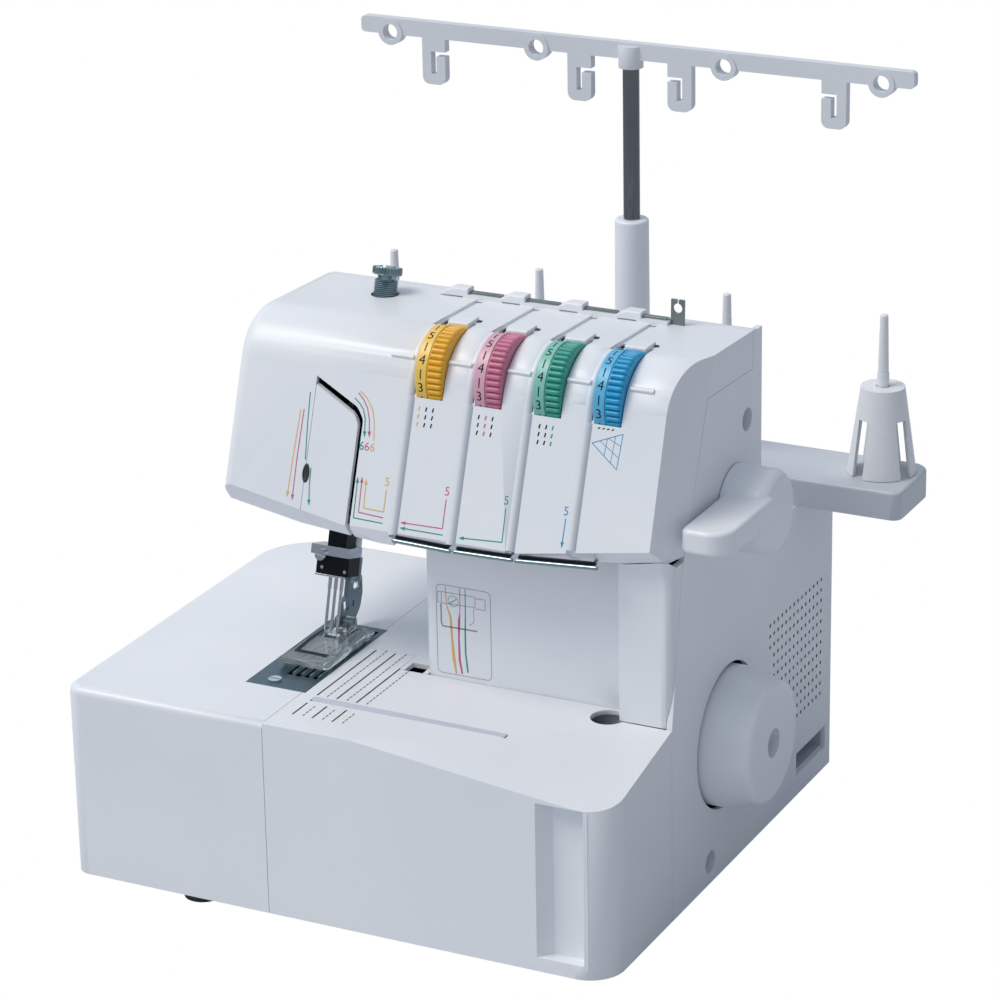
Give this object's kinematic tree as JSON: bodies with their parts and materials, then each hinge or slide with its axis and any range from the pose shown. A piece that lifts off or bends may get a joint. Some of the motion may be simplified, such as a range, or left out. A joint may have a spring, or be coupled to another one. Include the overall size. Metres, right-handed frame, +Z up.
{
  "type": "serger overlock machine",
  "caption": "Serger with a free bed, overhanging head with coloured tension dials, handwheel, drop-down front door, spool stand and telescopic thread tree.",
  "frame": {"origin": "on the table under the middle of the whole machine's bounding box", "axes": "+X towards the handwheel side, -Y towards the user, +Z up"},
  "size_m": [0.356, 0.28, 0.3991],
  "materials": {
    "cover_white": "satin moulded plastic",
    "pin_plastic": "satin moulded plastic",
    "base_grey": "fine texture",
    "foot_rubber": "matte",
    "steel": "ground",
    "bright_steel": "plated",
    "plate_steel": "ground, blue-grey",
    "mast_steel": "polished",
    "casting": "as cast",
    "bronze": "sintered",
    "pulley_grey": "moulded",
    "belt_rubber": "matte",
    "motor_grey": "satin paint",
    "clamp_black": "satin black",
    "clear_plastic": "clear moulded plastic",
    "lamp_lens": "frosted",
    "dial_yellow": "satin",
    "dial_pink": "satin",
    "dial_green": "satin",
    "dial_blue": "satin",
    "socket_black": "fine texture",
    "board_green": "lacquered board"
  },
  "bodies": {
    "machine": {"base_pan": "base_grey", "rubber_feet": "foot_rubber", "bed_cover": "cover_white", "cover_hinges": "steel", "side_cover": "cover_white", "column_cover": "cover_white", "rear_cover": "cover_white", "head_cover": "cover_white", "needle_panel": "cover_white", "head_floor": "cover_white", "head_rear_cover": "cover_white", "work_lamp": "lamp_lens", "frame_casting": "casting", "shaft_bushes": "bronze", "drive_belt": "belt_rubber", "motor": "motor_grey", "needle_plate": "plate_steel", "cover_screws": "bright_steel", "tension_bracket": "steel", "tension_discs": "bright_steel", "top_thread_guides": "bright_steel", "head_wire": "bright_steel", "spool_stand": "cover_white", "spool_pins": "pin_plastic", "mast_sleeve": "cover_white", "inlet_socket": "socket_black", "switch_housing": "socket_black", "power_board": "board_green"},
    "front_door": {"looper_cover": "cover_white"},
    "main_drive": {"main_shaft": "steel", "handwheel": "cover_white", "drive_pulley": "pulley_grey"},
    "rotor": {"motor_shaft": "steel"},
    "arm_rocker": {"arm_shaft": "steel"},
    "needle_unit": {"needle_bar": "bright_steel", "needle_clamp": "clamp_black", "clamp_bracket": "bright_steel", "clamp_screws": "bright_steel", "needles": "bright_steel"},
    "lifter": {"presser_lever": "cover_white", "lifter_shaft": "steel"},
    "presser_unit": {"presser_bar": "bright_steel", "presser_ankle": "bright_steel", "pressure_spring": "bright_steel"},
    "foot": {"presser_foot": "clear_plastic"},
    "pressure_knob": {"pressure_screw": "bright_steel"},
    "looper_unit": {"looper": "bright_steel", "looper_shaft": "steel"},
    "feed_lift": {"feed_bar": "casting"},
    "feed_front": {"feed_dog_front": "steel"},
    "feed_rear": {"feed_dog_rear": "steel"},
    "tension_a": {"dial_yellow": "dial_yellow"},
    "tension_b": {"dial_pink": "dial_pink"},
    "tension_c": {"dial_green": "dial_green"},
    "tension_d": {"dial_blue": "dial_blue"},
    "mast": {"mast_rod": "mast_steel"},
    "tree": {"thread_tree": "cover_white"},
    "adapter": {"cone_adapter": "pin_plastic"},
    "power_switch": {"switch_rocker": "socket_black"},
    "stitch_control": {"stitch_dial": "base_grey"}
  },
  "joints": [
    {"name": "front_door_hinge", "type": "hinge", "parent": "machine", "child": "front_door", "pos_m": [0, -0.128, 0.015], "axis": [1, 0, 0], "range_deg": [0, 75]},
    {"name": "handwheel_turn", "type": "hinge", "parent": "machine", "child": "main_drive", "pos_m": [0.1, 0.002, 0.081], "axis": [1, 0, 0], "continuous": true},
    {"name": "motor_turn", "type": "hinge", "parent": "machine", "child": "rotor", "pos_m": [0.05, 0.096, 0.062], "axis": [1, 0, 0], "continuous": true},
    {"name": "arm_rocker_turn", "type": "hinge", "parent": "machine", "child": "arm_rocker", "pos_m": [0, 0.022, 0.218], "axis": [-1, 0, 0], "range_deg": [-20.8, 29.1]},
    {"name": "needle_slide", "type": "slide", "parent": "machine", "child": "needle_unit", "axis": [0, 0.2756, 0.9613], "range_m": [-0.01, 0.014]},
    {"name": "lifter_turn", "type": "hinge", "parent": "machine", "child": "lifter", "pos_m": [0.1, 0.008, 0.2015], "axis": [-1, 0, 0], "range_deg": [0, 35]},
    {"name": "presser_slide", "type": "slide", "parent": "machine", "child": "presser_unit", "axis": [0, 0.2756, 0.9613], "range_m": [0, 0.0075]},
    {"name": "foot_tilt", "type": "hinge", "parent": "presser_unit", "child": "foot", "pos_m": [-0.081, -0.024, 0.118], "axis": [-1, 0, 0], "range_deg": [0, 10]},
    {"name": "pressure_turn", "type": "hinge", "parent": "machine", "child": "pressure_knob", "pos_m": [-0.0693, 0.00948, 0.28698], "axis": [0, 0.2756, 0.9613], "range_deg": [-720, 720]},
    {"name": "looper_swing", "type": "hinge", "parent": "machine", "child": "looper_unit", "pos_m": [-0.048, -0.035, 0.035], "axis": [0, 1, 0], "range_deg": [-8, 8]},
    {"name": "feed_lift_slide", "type": "slide", "parent": "machine", "child": "feed_lift", "axis": [0, 0, 1], "range_m": [-0.0015, 0.0006]},
    {"name": "feed_front_slide", "type": "slide", "parent": "feed_lift", "child": "feed_front", "axis": [0, 1, 0], "range_m": [-0.0025, 0.0025]},
    {"name": "feed_rear_slide", "type": "slide", "parent": "feed_lift", "child": "feed_rear", "axis": [0, 1, 0], "range_m": [-0.002, 0.002]},
    {"name": "dial_yellow_turn", "type": "hinge", "parent": "machine", "child": "tension_a", "pos_m": [0.04, -0.036, 0.2675], "axis": [1, 0, 0], "range_deg": [-140, 140]},
    {"name": "dial_pink_turn", "type": "hinge", "parent": "machine", "child": "tension_b", "pos_m": [0.04, -0.036, 0.2675], "axis": [1, 0, 0], "range_deg": [-140, 140]},
    {"name": "dial_green_turn", "type": "hinge", "parent": "machine", "child": "tension_c", "pos_m": [0.04, -0.036, 0.2675], "axis": [1, 0, 0], "range_deg": [-140, 140]},
    {"name": "dial_blue_turn", "type": "hinge", "parent": "machine", "child": "tension_d", "pos_m": [0.04, -0.036, 0.2675], "axis": [1, 0, 0], "range_deg": [-140, 140]},
    {"name": "mast_slide", "type": "slide", "parent": "machine", "child": "mast", "axis": [0, 0, 1], "range_m": [-0.078, 0]},
    {"name": "tree_swivel", "type": "hinge", "parent": "mast", "child": "tree", "pos_m": [0.018, 0.117, 0.395], "axis": [0, 0, 1], "range_deg": [-30, 30]},
    {"name": "adapter_lift", "type": "slide", "parent": "machine", "child": "adapter", "axis": [0, 0, 1], "range_m": [0, 0.09]},
    {"name": "switch_tilt", "type": "hinge", "parent": "machine", "child": "power_switch", "pos_m": [0.07, 0.136, 0.06], "axis": [1, 0, 0], "range_deg": [-7, 7]},
    {"name": "stitch_turn", "type": "hinge", "parent": "machine", "child": "stitch_control", "pos_m": [0.045, -0.055, 0.062], "axis": [0, 1, 0], "range_deg": [-150, 150]}
  ],
  "couplings": [
    {"joint": "motor_turn", "follows": "handwheel_turn", "ratio": 3.3333},
    {"joint": "needle_slide", "follows": "arm_rocker_turn", "m_per_rad": 0.0275},
    {"joint": "presser_slide", "follows": "lifter_turn", "m_per_rad": 0.01227}
  ]
}
